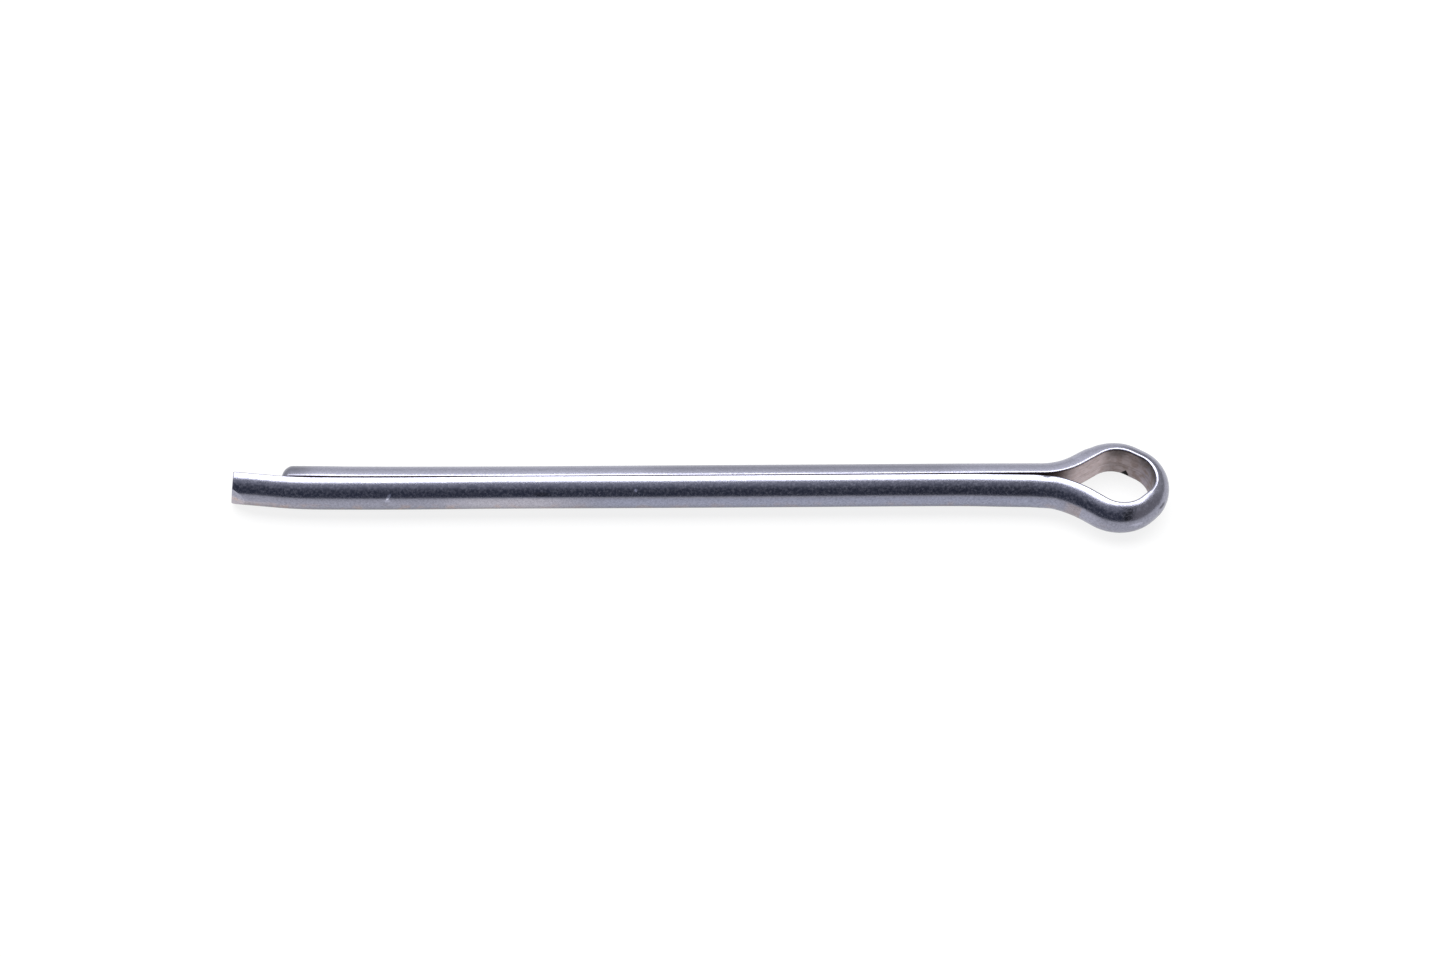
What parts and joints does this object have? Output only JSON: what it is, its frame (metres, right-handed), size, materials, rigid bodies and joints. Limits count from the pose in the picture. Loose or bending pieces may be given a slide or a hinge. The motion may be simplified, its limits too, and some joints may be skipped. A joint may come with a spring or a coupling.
{
  "type": "cotter pin",
  "caption": "Steel cotter pin: half-round wire folded into a split shank with two flat-sided legs, one reaching past the other, and a rounded eye at the fold.",
  "frame": {"origin": "on the axis of the shank, where its straight, round part ends and the shoulders of the eye begin", "axes": "+X along the shank towards the eye; +Z square to the plane of the eye, upwards as the pin lies; +Y towards the leg that ends first"},
  "size_m": [0.0838, 0.009, 0.0038],
  "materials": {
    "wire": "drawn steel wire with a satin sheen"
  },
  "bodies": {
    "root": {"cotter_pin": "wire"}
  },
  "joints": []
}
